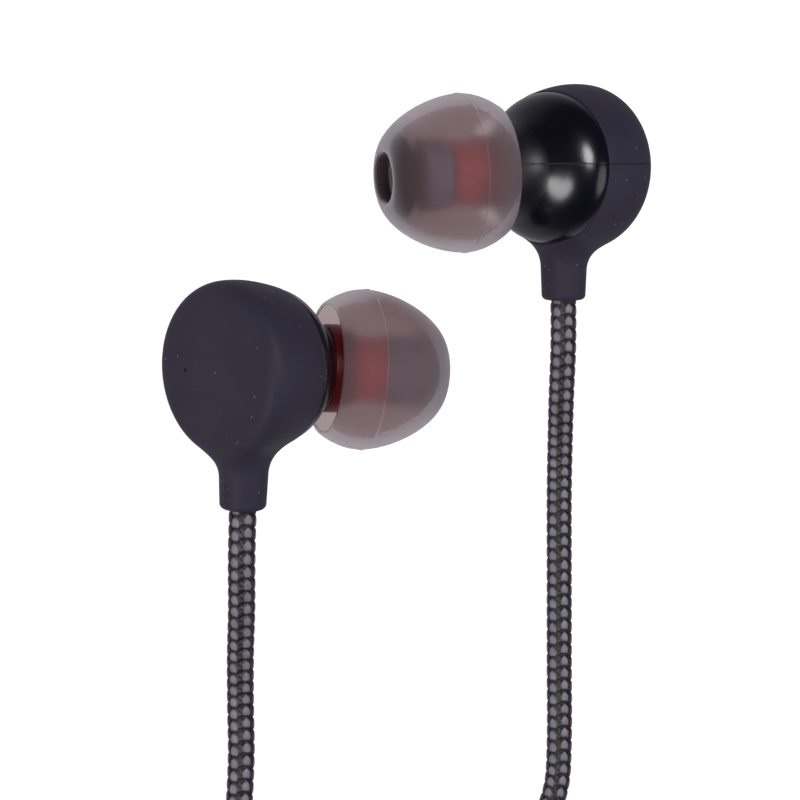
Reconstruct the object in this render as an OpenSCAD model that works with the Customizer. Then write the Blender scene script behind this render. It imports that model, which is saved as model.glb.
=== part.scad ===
// Wired in-ear earphones: two identical buds on a Y-shaped cord with a 3.5 mm
// jack plug.  Millimetres, +Z up.  The set lies at rest on the plane z = 0.
// The origin is on that plane, at the middle of the two buds.
// Each bud is drawn in its own frame: +X is the axis of the disc, out through
// the glossy front, +Z points away from the stem, and the origin is the centre
// of the joint between the two shells.

/* [Shells] */
// Radius of the joint between the glossy front and the matte back
joint_r = 6.2; // [5.8:0.1:6.6]
// Largest radius of the matte back
back_r = 6.85; // [6.7:0.05:7.2]
// Distance from the joint to the flat face at the back
back_d = 5.8; // [5.4:0.1:6.4]
// Radius of the flat face at the back
facet_r = 5.2; // [4.6:0.1:5.6]
// Depth of the glossy front dome
dome_d = 3.4; // [3.2:0.1:4.2]
// Wall thickness of both shells
wall = 0.8; // [0.6:0.1:1.0]

/* [Stem] */
// Distance from the bud centre to the lower end of the stem
stem_l = 10.9; // [10:0.1:13]
// Distance of the stem's axis behind the joint
stem_x = 2.9; // [2.6:0.1:3.2]
// Radius of the stem at its lower end
stem_r = 1.8; // [1.7:0.05:2.1]

/* [Nozzle and ear tip] */
// Sideways angle of the nozzle from the disc's axis
nozzle_turn = 29.3; // [25:0.1:34]
// Downward angle of the nozzle
nozzle_dip = 2.8; // [0:0.1:6]
// Radius of the red collar behind the ear tip
collar_r = 3.5; // [3.3:0.1:3.8]
// Outer radius of the nozzle's tube, which the ear tip grips
tube_r = 2.2; // [2.0:0.05:2.4]
// Largest radius of the ear tip
tip_r = 6.35; // [5.5:0.05:6.6]
// Radius of the opening at the front of the ear tip
tip_bore_r = 1.95; // [1.6:0.05:2.1]

/* [Cord] */
// Diameter of the braided cord
cord_d = 2.1; // [1.8:0.1:2.2]

/* [Jack plug] */
// Radius of the jack's contacts
jack_r = 1.75; // [1.75]
// Length of the jack from the housing to the end of its tip
jack_l = 14; // [13.5:0.5:14.5]
// Radius of the plug's housing
plug_r = 3.3; // [3:0.1:4]

/* [Hidden] */
$fn = 64;
eps = 0.01;

// Colours
matte = [0.20, 0.19, 0.22];
gloss = [0.03, 0.03, 0.03];
red = [0.45, 0.03, 0.04];
silicone = [0.55, 0.48, 0.48];
steel = [0.62, 0.63, 0.65];
copper = [0.72, 0.42, 0.22];
board_green = [0.10, 0.33, 0.20];
cord_black = [0.06, 0.06, 0.07];
gold = [0.80, 0.62, 0.28];

// Where each bud lies, and how it is turned
right_at = [-11.58, -6.02, 5.92];
right_turn = [-80.5, 25, 5.5];
left_at = [11.52, 10.18, 8.18];
left_turn = [83, -26, -174];

// Depth of the widest ring of the back, behind the joint
back_x = 3.75;
// Roundness of the edge between the widest ring and the flat face
edge_p = 2.6;
// The stem's offset to the side, and the radius of the cord's hole
stem_y = -0.45;
// Where the air vent is in the flat face
vent_y = 3.2;
cord_hole_r = cord_d / 2 + 0.1;

// Stations along the nozzle, measured from the bud centre
s_collar = 3.95;
s_barrel = 6.2;
s_tube = 9.2;
s_tube_end = 12.4;
s_rim = 4.3;
s_seam = 7.6;
s_front = 13.8;

module bud(side) {
    if (side == "right") translate(right_at) rotate(right_turn) children();
    else translate(left_at) rotate(left_turn) children();
}

// Turns a shape drawn along +Z onto the disc's axis
module on_axis() { rotate([0, 90, 0]) children(); }

// Turns a shape drawn along +Z onto the nozzle's axis
module on_nozzle() {
    rotate([0, 0, -nozzle_turn]) rotate([0, 90 + nozzle_dip, 0]) children();
}

// Outline of the back shell from the flat face to the joint, [radius, depth]
function back_edge(r0, r1, d0, d1, n) = [for (i = [0 : n]) let (
        a = 90 * i / n, c = pow(cos(a), 2 / edge_p), s = pow(sin(a), 2 / edge_p))
    [r0 + (r1 - r0) * s, -(d0 + (d1 - d0) * c)]];

module back_solid(r_max, r_joint, r_face, d_ring, d_face) {
    rotate_extrude($fn = 96)
        polygon(concat([[0, 0]], [[0, -d_face]],
            back_edge(r_face, r_max, d_ring, d_face, 9),
            [[(r_max + r_joint) / 2 + 0.12, -d_ring * 0.45], [r_joint, 0]]));
}

// Side mark on the back of the stem: plain dots to feel, three on the right
// bud and one on the left
module side_mark(dots) {
    for (i = [0 : dots - 1])
        translate([-stem_x - stem_r - 0.13, stem_y, -9.9 + 0.75 * i]) rotate([0, 90, 0])
            cylinder(h = 0.5, r = 0.22, $fn = 24);
}

module back_shell(dots) {
    color(matte) difference() {
        union() {
            on_axis() back_solid(back_r, joint_r, facet_r, back_x, back_d);
            translate([-stem_x, stem_y, -stem_l])
                cylinder(h = stem_l - 3, r1 = stem_r, r2 = stem_r + 0.3);
            translate([-stem_x, stem_y, -7.6])
                cylinder(h = 3.2, r1 = stem_r + 0.1, r2 = 2.6);
            side_mark(dots);
        }
        // The hollow that holds the driver
        on_axis() translate([0, 0, 0.01])
            back_solid(back_r - wall, joint_r - wall, facet_r - wall, back_x, back_d - wall);
        // The cord's hole and the wider pocket for its anchor
        translate([-stem_x, stem_y, -stem_l - 1]) cylinder(h = stem_l - 2, r = cord_hole_r);
        translate([-stem_x, stem_y, -8.2]) cylinder(h = 4.2, r = 1.5);
        // The air vent in the flat face
        translate([-back_d - 1, vent_y, -0.3]) rotate([0, 90, 0]) cylinder(h = 3, r = 0.25, $fn = 24);
    }
}

// Outline of the dome from its middle to the joint, [radius, height]
function dome_arc(r, d, n) = [for (i = [0 : n]) let (a = 90 * i / n)
    [r * sin(a), d * cos(a)]];

module front_shell() {
    color(gloss) difference() {
        union() {
            on_axis() rotate_extrude($fn = 96) polygon(concat([[0, 0]], dome_arc(joint_r, dome_d, 14)));
            // The flare that carries the nozzle
            intersection() {
                on_nozzle() rotate_extrude() polygon([[0, 0.8], [4.9, 0.8], [4.2, 2.6],
                    [3.6, 3.3], [3.2, 3.7], [3.1, s_collar], [0, s_collar]]);
                translate([0, -10, -10]) cube([12, 20, 20]);
            }
        }
        // The chamber in front of the driver
        on_axis() translate([0, 0, -0.01]) rotate_extrude($fn = 96)
            polygon(concat([[0, 0]], dome_arc(joint_r - wall, dome_d - wall, 14)));
        // The nozzle's seat
        on_nozzle() translate([0, 0, 0.6]) cylinder(h = s_collar, r = 2.6);
        // A flat for the collar where the dome's flank rises past it
        on_nozzle() translate([0, 0, s_collar]) cylinder(h = 3, r = collar_r + 0.05);
    }
}

module nozzle() {
    color(red) on_nozzle() difference() {
        union() {
            translate([0, 0, 2.6]) cylinder(h = s_collar - 2.6, r = 2.6);
            translate([0, 0, s_collar]) cylinder(h = s_barrel - s_collar, r = collar_r);
            translate([0, 0, s_barrel]) cylinder(h = s_tube - s_barrel, r = 2.9);
            translate([0, 0, s_tube]) cylinder(h = s_tube_end - s_tube, r = tube_r);
        }
        translate([0, 0, 2]) cylinder(h = 12, r = 1.6);
        // Seat for the mesh at the outer end
        translate([0, 0, s_tube_end - 0.3]) cylinder(h = 1, r = 1.9);
    }
}

module nozzle_mesh() {
    color(steel) on_nozzle() translate([0, 0, s_tube_end - 0.3]) cylinder(h = 0.2, r = 1.88);
}

// Outline of the ear tip's skirt, outside from the rear rim to the front
function skirt_out(t) = [for (i = [0 : 4]) let (q = 1 - i / 4)
        [tip_r - 0.05 - 1.05 * q * q - t, s_seam - (s_seam - s_rim) * q]];
function dome_out(t) = [for (i = [0 : 10]) let (q = sin(9 * i), p = 1.7)
        [2.35 + (tip_r - t - 2.35) * pow(max(0, 1 - pow(q, p)), 1 / p),
         s_seam + (s_front - t - s_seam) * q]];

module ear_tip() {
    core_r = 3.3;
    color(silicone) on_nozzle() rotate_extrude($fn = 96) polygon(concat(
        // outside, from the rear rim over the seam ring to the front
        skirt_out(0), [[tip_r + 0.02, s_seam - 0.15], [tip_r + 0.02, s_seam + 0.1]],
        dome_out(0),
        // the opening and the bore that grips the tube
        [[tip_bore_r, s_front - 0.15], [tip_bore_r, s_tube_end + 0.5],
         [tube_r + 0.05, s_tube_end + 0.15], [tube_r + 0.05, s_tube + 0.1],
         // the core's rear end and its outside
         [core_r, s_tube + 0.1], [core_r, 12.0]],
        // inside of the skirt, back to the rear rim
        [[4.0, 11.85], [4.8, 10.9], [5.45, 9.6], [5.8, 8.3], [5.85, 7.4],
         [5.55, 6.2], [5.1, 5.1], [4.85, s_rim]]));
}

// The driver, a 10 mm moving-coil capsule that faces the front
module driver_frame() {
    color(steel) on_axis() difference() {
        translate([0, 0, -3.4]) cylinder(h = 3.3, r = 5);
        translate([0, 0, -3.1]) cylinder(h = 4, r = 3.3);
        translate([0, 0, -0.9]) cylinder(h = 2, r = 4.7);
        translate([0, 0, -4]) cylinder(h = 4, r = 0.8);
    }
}

module driver_magnet() {
    color([0.5, 0.5, 0.52]) on_axis() difference() {
        translate([0, 0, -3.1]) cylinder(h = 1.3, r = 2.7);
        translate([0, 0, -4]) cylinder(h = 4, r = 0.8);
    }
}

module top_plate() {
    color([0.7, 0.7, 0.7]) on_axis() difference() {
        translate([0, 0, -1.8]) cylinder(h = 0.5, r = 2.75);
        translate([0, 0, -4]) cylinder(h = 4, r = 0.8);
    }
}

module voice_coil() {
    color(copper) on_axis() difference() {
        translate([0, 0, -2.3]) cylinder(h = 1.4, r = 3.12);
        translate([0, 0, -3]) cylinder(h = 4, r = 2.9);
    }
}

module diaphragm() {
    color([0.75, 0.72, 0.6]) on_axis() rotate_extrude($fn = 96) polygon([
        [0, -0.05], [1.5, -0.25], [2.9, -0.8], [3.12, -0.8], [3.9, -0.35],
        [4.4, -0.55], [4.7, -0.8], [4.7, -0.9], [4.3, -0.68], [3.9, -0.45],
        [3.2, -0.88], [2.8, -0.88], [1.5, -0.33], [0, -0.13]]);
}

module driver_board() {
    color(board_green) translate([-3.95, 0, 0]) rotate([0, 90, 0]) difference() {
        cylinder(h = 0.5, r = 2.6);
        translate([-4, 1.6, -1]) cube([8, 4, 3]);
        translate([0, 0, -1]) cylinder(h = 3, r = 0.6);
    }
}

module vent_mesh() {
    color([0.12, 0.12, 0.13]) translate([-back_d + wall + 0.03, vent_y, -0.3]) rotate([0, 90, 0])
        cylinder(h = 0.2, r = 0.9, $fn = 32);
}

module cord_anchor() {
    color(cord_black) translate([-stem_x, stem_y, -8.1]) difference() {
        cylinder(h = 2.95, r = 1.45);
        translate([0, 0, -1]) cylinder(h = 3, r = cord_d / 2 + 0.02);
        translate([0, 0, -1]) cylinder(h = 8, r = 0.6);
    }
}

// A cord: a closed tube with eight sides, swept along a list of points.
function unit(v) = v / norm(v);
function heading(p, i) = unit(p[min(i + 1, len(p) - 1)] - p[max(i - 1, 0)]);
function side_of(t) = unit(cross(t, abs(t[2]) > 0.9 ? [1, 0, 0] : [0, 0, 1]));
module cord(p, d = cord_d) {
    n = 8;
    r = d / 2;
    m = len(p);
    pts = [for (i = [0 : m - 1]) let (t = heading(p, i), u = side_of(t), v = cross(t, u))
        for (k = [0 : n - 1]) p[i] + r * (cos(360 * k / n) * u + sin(360 * k / n) * v)];
    color(cord_black) polyhedron(pts, concat(
        [[for (k = [0 : n - 1]) k]],
        [[for (k = [0 : n - 1]) m * n - 1 - k]],
        [for (i = [0 : m - 2]) for (k = [0 : n - 1])
            [i * n + k, (i + 1) * n + k, (i + 1) * n + (k + 1) % n, i * n + (k + 1) % n]]), convexity = 6);
}

// Smooth points through a list of route points, k steps to a span
function spline(a, b, c, d, t) = 0.5 * (2 * b + (c - a) * t
    + (2 * a - 5 * b + 4 * c - d) * t * t + (3 * b - a - 3 * c + d) * t * t * t);
function smooth(p, k) = concat([for (i = [0 : len(p) - 2]) for (j = [0 : k - 1])
    spline(p[max(i - 1, 0)], p[i], p[i + 1], p[min(i + 2, len(p) - 1)], j / k)], [p[len(p) - 1]]);

// Height of a cord that lies on the table, and of the coils' two layers
z_low = cord_d / 2 + 0.02;
tie_t = 0.4;
coil_h = 4.5;

// Centres and radii of the two coils, to the middle of the outer turn
branch_coil_at = [1, -64.5];
branch_out = 15.8;
branch_in = 8.9;
main_coil_at = [2.9, -108.5];
main_out = 16.6;
main_in = 5.1;

// Route of each cord, from its bud to its coil
right_route = [[-13.82, -13.64, 6.44], [-13.73, -17.1, 5.92], [-13.63, -21.06, 5.32],
    [-13.2, -25, 4], [-12.75, -29, 2.3], [-12.4, -33, 1.25], [-12.3, -38, z_low],
    [-12.8, -44, z_low], [-14.4, -50, z_low], [-14.8, -56, 1.3], [-14.8, -63, 1.5]];
left_route = [[14.29, 3.14, 5.7], [14.46, -0.33, 5.31], [14.67, -4.3, 4.88], [15.15, -8.3, 3.6],
    [15.9, -12.5, 1.9], [16.25, -17, z_low], [16.25, -24, z_low], [16.25, -31, z_low],
    [16.25, -38, z_low], [15.9, -42, z_low], [14.3, -45, z_low], [11, -46.2, z_low],
    [4, -46.2, z_low], [-3, -46.2, z_low], [-7.5, -46.4, z_low], [-10.6, -48.4, z_low],
    [-12.1, -52, z_low], [-12.5, -57, 1.3], [-12.5, -63, 1.5]];
right_tail = [[-14.8, -66, 3.7], [-14.8, -71, 3.6], [-14.8, -76, 2.6], [-14.8, -79.2, 2.12],
    [-14.8, -82, 2.12]];
left_tail = [[-12.5, -66, 3.7], [-12.5, -71, 3.6], [-12.5, -76, 2.6], [-12.5, -79.2, 2.12],
    [-12.5, -82, 2.12]];
main_route = [[-13.65, -94, 2.12], [-13.65, -97.5, 2.12], [-13.65, -102, 1.6], [-13.7, -107, 1.5]];
main_tail = [[-13.7, -110, 3.7], [-13.7, -116, 3.5], [-13.7, -121.5, 3.3], [-13.7, -127, 3.3]];

// One coil: the outer shape of all its turns
module coil(at, r_in, r_out) {
    a = cord_d / 2;
    color(cord_black) translate([at[0], at[1], tie_t]) rotate_extrude($fn = 96) polygon([
        [r_in - a + 0.4, 0], [r_out + a - 0.4, 0], [r_out + a, 0.5], [r_out + a, coil_h - 0.6],
        [r_out + a - 0.5, coil_h], [r_in - a + 0.5, coil_h], [r_in - a, coil_h - 0.6], [r_in - a, 0.5]]);
}

// The strap round one side of a coil
module tie(at, r_in, r_out, turn) {
    a = cord_d / 2 + 0.05;
    w = 5;
    color([0.10, 0.10, 0.11]) translate([at[0], at[1], 0]) rotate([0, 0, turn]) difference() {
        translate([r_in - a - tie_t, -w / 2, 0])
            cube([r_out - r_in + 2 * a + 2 * tie_t, w, coil_h + 2 * tie_t + 0.05]);
        translate([r_in - a, -w, tie_t - 0.02]) cube([r_out - r_in + 2 * a, 2 * w, coil_h + 0.07]);
    }
}

// The Y-splitter: two halves moulded round a crimp
splitter_at = [-13.65, -80, 2.12];
splitter_l = 16;
module splitter_half(up) {
    translate(splitter_at) rotate([90, 0, 0]) difference() {
        intersection() {
            hull() {
                translate([-1.15, 0, 0]) cylinder(h = 1, r = 2.1, $fn = 32);
                translate([1.15, 0, 0]) cylinder(h = 1, r = 2.1, $fn = 32);
                translate([0, 0, splitter_l - 1]) cylinder(h = 1, r = 1.9, $fn = 32);
            }
            translate([-5, up ? 0 : -5, -1]) cube([10, 5, 20]);
        }
        for (x = [-1.15, 1.15]) translate([x, 0.05, -1]) cylinder(h = 5, r = cord_d / 2 + 0.06);
        translate([0, 0, 3.9]) cylinder(h = 6.2, r = 1.55);
        translate([0, 0, 9]) cylinder(h = 9, r = cord_d / 2 + 0.06);
    }
}
module splitter_crimp() {
    color(copper) translate(splitter_at) rotate([90, 0, 0]) translate([0, 0, 4]) difference() {
        cylinder(h = 5.5, r = 1.5);
        translate([0, 0, -1]) cylinder(h = 9, r = 1.1);
    }
}

// The jack plug, along -Y
plug_at = [-13.7, -123, plug_r];
plug_l = 17;
relief_l = 8;
module on_plug() { translate(plug_at) rotate([90, 0, 0]) children(); }

module plug_relief() {
    color(cord_black) on_plug() difference() {
        union() {
            cylinder(h = relief_l, r1 = 1.6, r2 = 2.3);
            for (z = [1, 3, 5]) translate([0, 0, z]) cylinder(h = 0.9, r = 2.0 + z * 0.08);
            translate([0, 0, relief_l - 0.01]) cylinder(h = 2, r = 2.2);
        }
        translate([0, 0, -1]) cylinder(h = relief_l - 1, r = cord_d / 2 + 0.05);
        translate([0, 0, -1]) cylinder(h = 14, r = 0.7);
    }
}
module plug_housing() {
    color(matte) on_plug() translate([0, 0, relief_l]) difference() {
        rotate_extrude() polygon([[0, 0], [2.7, 0], [plug_r, 0.8], [plug_r, plug_l - 1.2],
            [plug_r - 0.6, plug_l - 0.3], [2.5, plug_l], [0, plug_l]]);
        translate([0, 0, -1]) cylinder(h = 3.1, r = 2.22);
        translate([0, 0, 2]) cylinder(h = plug_l - 5, r = 2.4);
        translate([0, 0, plug_l - 4]) cylinder(h = 5, r = 2.02);
    }
}
jack_z = relief_l + plug_l;
module plug_sleeve() {
    color(gold) on_plug() difference() {
        union() {
            translate([0, 0, jack_z - 3.9]) cylinder(h = 3.9, r = 2.0);
            translate([0, 0, jack_z - 0.01]) cylinder(h = jack_l - 8 + 0.01, r = jack_r);
        }
        translate([0, 0, jack_z - 5]) cylinder(h = 20, r = 1.2);
    }
}
module plug_ring() {
    color(gold) on_plug() translate([0, 0, jack_z + jack_l - 7.3]) difference() {
        cylinder(h = 2.4, r = jack_r);
        translate([0, 0, -1]) cylinder(h = 5, r = 1.2);
    }
}
module plug_tip() {
    color(gold) on_plug() translate([0, 0, jack_z + jack_l - 4.2]) {
        rotate_extrude() polygon([[0, 0], [1.6, 0], [1.6, 0.5], [1.1, 1.2], [jack_r, 2.1],
            [jack_r, 2.5], [1.0, 3.9], [0.6, 4.2], [0, 4.2]]);
    }
}
module plug_insulators() {
    color([0.05, 0.05, 0.05]) on_plug() for (z = [8, 4.9])
        translate([0, 0, jack_z + jack_l - z]) difference() {
            cylinder(h = 0.7, r = 1.55);
            translate([0, 0, -1]) cylinder(h = 3, r = 1.2);
        }
}
// The insulated rod that carries the tip and ring contacts
module plug_core() {
    color([0.85, 0.85, 0.8]) on_plug() translate([0, 0, jack_z - 5.5])
        cylinder(h = jack_l - 4.2 + 5.5, r = 1.2);
}

bud("right") back_shell(3);  // right_back_shell
bud("right") front_shell();  // right_front_shell
bud("right") nozzle();  // right_nozzle
bud("right") nozzle_mesh();  // right_nozzle_mesh
bud("right") ear_tip();  // right_ear_tip
bud("right") driver_frame();  // right_driver_frame
bud("right") driver_magnet();  // right_driver_magnet
bud("right") top_plate();  // right_top_plate
bud("right") voice_coil();  // right_voice_coil
bud("right") diaphragm();  // right_diaphragm
bud("right") driver_board();  // right_driver_board
bud("right") vent_mesh();  // right_vent_mesh
bud("right") cord_anchor();  // right_cord_anchor
bud("left") back_shell(1);  // left_back_shell
bud("left") front_shell();  // left_front_shell
bud("left") nozzle();  // left_nozzle
bud("left") nozzle_mesh();  // left_nozzle_mesh
bud("left") ear_tip();  // left_ear_tip
bud("left") driver_frame();  // left_driver_frame
bud("left") driver_magnet();  // left_driver_magnet
bud("left") top_plate();  // left_top_plate
bud("left") voice_coil();  // left_voice_coil
bud("left") diaphragm();  // left_diaphragm
bud("left") driver_board();  // left_driver_board
bud("left") vent_mesh();  // left_vent_mesh
bud("left") cord_anchor();  // left_cord_anchor
cord(right_route);  // right_cord
cord(left_route);  // left_cord
coil(branch_coil_at, branch_in, branch_out);  // branch_coil
tie(branch_coil_at, branch_in, branch_out, -20);  // branch_tie
cord(right_tail);  // right_cord_tail
cord(left_tail);  // left_cord_tail
color(matte) splitter_half(false);  // splitter_lower
color(matte) splitter_half(true);  // splitter_upper
splitter_crimp();
cord(main_route);  // main_cord
coil(main_coil_at, main_in, main_out);  // main_coil
tie(main_coil_at, main_in, main_out, 20);  // main_tie
cord(main_tail);  // main_cord_tail
plug_relief();
plug_housing();
plug_sleeve();
plug_ring();
plug_tip();
plug_insulators();
plug_core();
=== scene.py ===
import bpy, math
import numpy as np
from mathutils import Matrix, Vector


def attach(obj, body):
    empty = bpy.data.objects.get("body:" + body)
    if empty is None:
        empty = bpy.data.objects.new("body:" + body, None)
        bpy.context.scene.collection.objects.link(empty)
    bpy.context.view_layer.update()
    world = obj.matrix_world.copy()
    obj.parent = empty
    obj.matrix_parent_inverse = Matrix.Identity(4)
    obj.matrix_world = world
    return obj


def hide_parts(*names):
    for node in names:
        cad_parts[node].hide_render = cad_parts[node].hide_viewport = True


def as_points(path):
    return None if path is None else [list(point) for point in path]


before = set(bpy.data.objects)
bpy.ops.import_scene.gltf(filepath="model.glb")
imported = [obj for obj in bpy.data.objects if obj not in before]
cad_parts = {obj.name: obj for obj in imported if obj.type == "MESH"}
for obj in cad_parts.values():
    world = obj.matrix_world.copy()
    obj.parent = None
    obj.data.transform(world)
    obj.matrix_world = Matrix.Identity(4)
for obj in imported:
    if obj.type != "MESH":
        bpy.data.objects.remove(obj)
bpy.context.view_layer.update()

MM = 0.001
scene = bpy.context.scene

# ---------------------------------------------------------------- camera
TILT = math.radians(-22.6)
cam_data = bpy.data.cameras.new("camera")
cam_data.sensor_width = 36.0
cam_data.lens = 88.75
cam_data.clip_start = 0.005
cam_data.clip_end = 20.0
cam = bpy.data.objects.new("camera", cam_data)
scene.collection.objects.link(cam)
cam.location = (-61.22 * MM, -8.69 * MM, 151.7 * MM)
cam.rotation_euler = (0.0, TILT, 0.0)
scene.camera = cam


# ---------------------------------------------------------------- helpers
def smoothstep(t):
    t = np.clip(t, 0.0, 1.0)
    return t * t * (3 - 2 * t)


def euler(a, b, c):
    a, b, c = np.radians([a, b, c])
    rx = np.array([[1, 0, 0], [0, np.cos(a), -np.sin(a)], [0, np.sin(a), np.cos(a)]])
    ry = np.array([[np.cos(b), 0, np.sin(b)], [0, 1, 0], [-np.sin(b), 0, np.cos(b)]])
    rz = np.array([[np.cos(c), -np.sin(c), 0], [np.sin(c), np.cos(c), 0], [0, 0, 1]])
    return rz @ ry @ rx


# The two buds' places, as in the CAD model (mm and degrees)
BUD = {
    "right": (np.array([-11.58, -6.02, 5.92]), euler(-80.5, 25, 5.5)),
    "left": (np.array([11.52, 10.18, 8.18]), euler(83, -26, -174)),
}
NOZZLE_TURN, NOZZLE_DIP = 29.3, 2.8
S_COLLAR, S_BARREL, S_TUBE, S_TUBE_END = 4.4, 6.2, 9.2, 12.4
S_RIM, S_SEAM, S_FRONT = 4.55, 7.6, 14.15
_a, _b = np.radians(NOZZLE_TURN), np.radians(NOZZLE_DIP)
NOZ = np.array([np.cos(_a) * np.cos(_b), -np.sin(_a) * np.cos(_b), -np.sin(_b)])


def mesh_object(name, verts, faces, mat, normals=None, smooth=True, uv=None):
    """verts in mm in the row frame."""
    me = bpy.data.meshes.new(name)
    me.from_pydata((np.asarray(verts) * MM).tolist(), [], faces if isinstance(faces, list) else faces.tolist())
    me.update()
    if smooth:
        me.polygons.foreach_set("use_smooth", np.ones(len(me.polygons), bool))
    if uv is not None:
        layer = me.uv_layers.new(name="UVMap")
        idx = np.empty(len(me.loops), dtype=np.int64)
        me.loops.foreach_get("vertex_index", idx)
        layer.data.foreach_set("uv", np.asarray(uv, dtype=np.float32)[idx].ravel())
    if normals is not None:
        me.normals_split_custom_set_from_vertices(np.asarray(normals).tolist())
    ob = bpy.data.objects.new(name, me)
    scene.collection.objects.link(ob)
    if mat is not None:
        me.materials.append(mat)
    return ob


def to_row(pts, side):
    at, m = BUD[side]
    return np.asarray(pts) @ m.T + at


# ---------------------------------------------------------------- node materials
def new_mat(name):
    m = bpy.data.materials.new(name)
    m.use_nodes = True
    nt = m.node_tree
    for n in list(nt.nodes):
        nt.nodes.remove(n)
    out = nt.nodes.new("ShaderNodeOutputMaterial")
    bs = nt.nodes.new("ShaderNodeBsdfPrincipled")
    nt.links.new(bs.outputs[0], out.inputs[0])
    return m, nt, bs


def node(nt, kind, **kw):
    n = nt.nodes.new(kind)
    for k, v in kw.items():
        if hasattr(n, k):
            setattr(n, k, v)
        else:
            n.inputs[k].default_value = v
    return n


def noise(nt, scale, detail=3.0, rough=0.55, coord="Object"):
    tc = nt.nodes.new("ShaderNodeTexCoord")
    n = nt.nodes.new("ShaderNodeTexNoise")
    n.inputs["Scale"].default_value = scale
    n.inputs["Detail"].default_value = detail
    n.inputs["Roughness"].default_value = rough
    nt.links.new(tc.outputs[coord], n.inputs["Vector"])
    return n


def ramp(nt, src, stops):
    r = nt.nodes.new("ShaderNodeValToRGB")
    el = r.color_ramp.elements
    while len(el) < len(stops):
        el.new(0.5)
    for e, (p, c) in zip(el, stops):
        e.position = p
        e.color = (*c, 1.0) if len(c) == 3 else c
    nt.links.new(src, r.inputs[0])
    return r


def bump(nt, bs, height, strength, dist, normal=None):
    b = nt.nodes.new("ShaderNodeBump")
    b.inputs["Strength"].default_value = strength
    b.inputs["Distance"].default_value = dist
    nt.links.new(height, b.inputs["Height"])
    if normal is not None:
        nt.links.new(normal, b.inputs["Normal"])
    nt.links.new(b.outputs[0], bs.inputs["Normal"])
    return b


def g(v):
    return (v, v, v)


def plain(name, color, metallic=0.0, rough=0.4, spread=0.12, scale=900.0, bump_k=0.15, dist=2e-5, coat=0.0, spec=0.5, sheen=0.0, rough_spread=0.08):
    m, nt, bs = new_mat(name)
    n = noise(nt, scale)
    lo = tuple(c * (1 - spread) for c in color)
    hi = tuple(min(1.0, c * (1 + spread)) for c in color)
    r = ramp(nt, n.outputs["Fac"], [(0.3, lo), (0.7, hi)])
    nt.links.new(r.outputs[0], bs.inputs["Base Color"])
    rr = ramp(nt, n.outputs["Fac"], [(0.3, g(max(0.02, rough - rough_spread))), (0.7, g(min(1, rough + rough_spread)))])
    nt.links.new(rr.outputs[0], bs.inputs["Roughness"])
    bs.inputs["Metallic"].default_value = metallic
    bs.inputs["Specular IOR Level"].default_value = spec
    if coat:
        bs.inputs["Coat Weight"].default_value = coat
        bs.inputs["Coat Roughness"].default_value = 0.08
    if sheen:
        bs.inputs["Sheen Weight"].default_value = sheen
        bs.inputs["Sheen Roughness"].default_value = 0.4
    n2 = noise(nt, scale * 3.0, 2.0)
    bump(nt, bs, n2.outputs["Fac"], bump_k, dist)
    return m


def parting_line(nt, bs, colour, height=None):
    """The fine line where the mould's halves met, round the bud at one height."""
    at = nt.nodes.new("ShaderNodeAttribute")
    at.attribute_name = "bud_place"
    sep = nt.nodes.new("ShaderNodeSeparateXYZ")
    nt.links.new(at.outputs["Vector"], sep.inputs[0])
    sub = node(nt, "ShaderNodeMath", operation="SUBTRACT")
    nt.links.new(sep.outputs[2], sub.inputs[0])
    sub.inputs[1].default_value = 0.32
    ab = node(nt, "ShaderNodeMath", operation="ABSOLUTE")
    nt.links.new(sub.outputs[0], ab.inputs[0])
    # the line fades where the parts were polished, away from the joint and on the flat face
    gate = ramp(nt, sep.outputs[0], [(0.0, g(0.0)), (0.01, g(1.0))])
    far = node(nt, "ShaderNodeMath", operation="MULTIPLY_ADD")
    nt.links.new(sep.outputs[0], far.inputs[0])
    far.inputs[1].default_value = 0.1
    far.inputs[2].default_value = 0.52
    nt.links.new(far.outputs[0], gate.inputs[0])
    line = ramp(nt, ab.outputs[0], [(0.0, g(1.0)), (0.035, g(0.85)), (0.075, g(0.0))])
    both = node(nt, "ShaderNodeMath", operation="MULTIPLY")
    nt.links.new(line.outputs[0], both.inputs[0])
    nt.links.new(gate.outputs[0], both.inputs[1])
    mix = node(nt, "ShaderNodeMix", data_type="RGBA")
    half = node(nt, "ShaderNodeMath", operation="MULTIPLY")
    nt.links.new(both.outputs[0], half.inputs[0])
    half.inputs[1].default_value = 0.75
    nt.links.new(half.outputs[0], mix.inputs["Factor"])
    nt.links.new(colour, mix.inputs["A"])
    mix.inputs["B"].default_value = (0.002, 0.002, 0.003, 1)
    nt.links.new(mix.outputs["Result"], bs.inputs["Base Color"])
    neg = node(nt, "ShaderNodeMath", operation="SUBTRACT")
    neg.inputs[0].default_value = 1.0
    nt.links.new(both.outputs[0], neg.inputs[1])
    return neg.outputs[0]


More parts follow.
